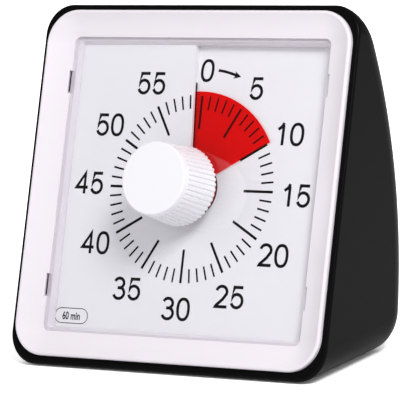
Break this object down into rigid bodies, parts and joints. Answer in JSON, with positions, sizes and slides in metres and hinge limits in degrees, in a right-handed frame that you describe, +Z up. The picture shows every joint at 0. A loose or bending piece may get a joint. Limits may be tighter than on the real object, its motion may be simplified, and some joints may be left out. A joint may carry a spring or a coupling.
{
  "type": "visual countdown timer",
  "caption": "Desk countdown timer: a leaning square dial with a slit, a red disc that winds out of it as the central knob is turned, and a black wedge case.",
  "frame": {"origin": "centre of the overall box, on the plane that the feet stand on", "axes": "+X to the right as the user sees the dial, +Y towards the back, +Z up; the face looks along -Y, leaning back 20 degrees"},
  "size_m": [0.1346, 0.0698, 0.127],
  "materials": {
    "rear_housing": "fine satin",
    "front_bezel": "gloss",
    "clear_lens": "clear",
    "dial_plate": "satin",
    "red_disc": "gloss film",
    "disc_carrier": "moulded",
    "knob": "satin gloss",
    "spindle": "moulded",
    "clutch_spring": "spring steel",
    "retaining_ring": "bright",
    "alarm_cam": "moulded",
    "mounting_plate": "moulded",
    "movement_front": "moulded",
    "movement_back": "moulded",
    "center_wheel": "moulded",
    "third_wheel": "moulded",
    "second_wheel": "moulded",
    "first_wheel": "moulded",
    "rotor": "moulded over a magnet",
    "stator": "stamped",
    "coil_bobbin": "moulded",
    "coil_winding": "enamelled copper",
    "circuit_board": "solder mask",
    "quartz_crystal": "metal can",
    "timer_chip": "resin",
    "alarm_contact": "spring bronze",
    "buzzer_case": "moulded",
    "buzzer_disc": "thin plate",
    "switch_body": "folded can",
    "switch_slider": "moulded",
    "battery_cell": "printed sleeve",
    "battery_contact_positive": "nickel plated",
    "battery_contact_negative": "nickel plated",
    "battery_spring": "nickel plated",
    "battery_door": "fine satin",
    "battery_leads": "insulated wire",
    "buzzer_leads": "insulated wire",
    "switch_leads": "insulated wire",
    "case_screws": "zinc plated",
    "frame_screws": "zinc plated",
    "movement_screws": "zinc plated",
    "rubber_feet": "matt"
  },
  "bodies": {
    "case": {"rear_housing": "rear_housing", "front_bezel": "front_bezel", "clear_lens": "clear_lens", "dial_plate": "dial_plate", "mounting_plate": "mounting_plate", "movement_front": "movement_front", "movement_back": "movement_back", "stator": "stator", "coil_bobbin": "coil_bobbin", "coil_winding": "coil_winding", "circuit_board": "circuit_board", "quartz_crystal": "quartz_crystal", "timer_chip": "timer_chip", "alarm_contact": "alarm_contact", "buzzer_case": "buzzer_case", "buzzer_disc": "buzzer_disc", "switch_body": "switch_body", "battery_cell": "battery_cell", "battery_contact_positive": "battery_contact_positive", "battery_contact_negative": "battery_contact_negative", "battery_spring": "battery_spring", "battery_leads": "battery_leads", "buzzer_leads": "buzzer_leads", "switch_leads": "switch_leads", "case_screws": "case_screws", "frame_screws": "frame_screws", "movement_screws": "movement_screws", "rubber_feet": "rubber_feet"},
    "knob": {"knob": "knob", "spindle": "spindle", "clutch_spring": "clutch_spring", "retaining_ring": "retaining_ring", "alarm_cam": "alarm_cam"},
    "disc": {"red_disc": "red_disc", "disc_carrier": "disc_carrier"},
    "center_wheel": {"center_wheel": "center_wheel"},
    "third_wheel": {"third_wheel": "third_wheel"},
    "second_wheel": {"second_wheel": "second_wheel"},
    "first_wheel": {"first_wheel": "first_wheel"},
    "rotor": {"rotor": "rotor"},
    "battery_door": {"battery_door": "battery_door"},
    "volume_switch": {"switch_slider": "switch_slider"}
  },
  "joints": [
    {"name": "knob_turn", "type": "hinge", "parent": "case", "child": "knob", "pos_m": [0, -0.00528, 0.06227], "axis": [0, 0.9397, -0.342], "range_deg": [-60, 300]},
    {"name": "disc_slide", "type": "slide", "parent": "knob", "child": "disc", "axis": [0, -0.9397, 0.342], "range_m": [-0.0004, 0.002]},
    {"name": "rotor_turn", "type": "hinge", "parent": "case", "child": "rotor", "pos_m": [0.01172, 0.01226, 0.07245], "axis": [0, -0.9397, 0.342], "continuous": true},
    {"name": "first_wheel_turn", "type": "hinge", "parent": "case", "child": "first_wheel", "pos_m": [0.00241, 0.01282, 0.07399], "axis": [0, -0.9397, 0.342], "continuous": true},
    {"name": "second_wheel_turn", "type": "hinge", "parent": "case", "child": "second_wheel", "pos_m": [-0.00739, 0.01282, 0.07399], "axis": [0, -0.9397, 0.342], "continuous": true},
    {"name": "third_wheel_turn", "type": "hinge", "parent": "case", "child": "third_wheel", "pos_m": [-0.01559, 0.01001, 0.06628], "axis": [0, -0.9397, 0.342], "continuous": true},
    {"name": "center_wheel_turn", "type": "hinge", "parent": "case", "child": "center_wheel", "pos_m": [0, 0.00693, 0.05782], "axis": [0, -0.9397, 0.342], "continuous": true},
    {"name": "battery_door_slide", "type": "slide", "parent": "case", "child": "battery_door", "axis": [-1, 0, 0], "range_m": [0, 0.01]},
    {"name": "volume_switch_slide", "type": "slide", "parent": "case", "child": "volume_switch", "axis": [1, 0, 0], "range_m": [-0.003, 0.003]}
  ],
  "couplings": [
    {"joint": "disc_slide", "follows": "knob_turn", "m_per_rad": 0.00038197},
    {"joint": "first_wheel_turn", "follows": "rotor_turn", "ratio": -0.16667},
    {"joint": "second_wheel_turn", "follows": "rotor_turn", "ratio": 0.027778},
    {"joint": "third_wheel_turn", "follows": "rotor_turn", "ratio": -0.0044444},
    {"joint": "center_wheel_turn", "follows": "rotor_turn", "ratio": 0.00055556}
  ]
}
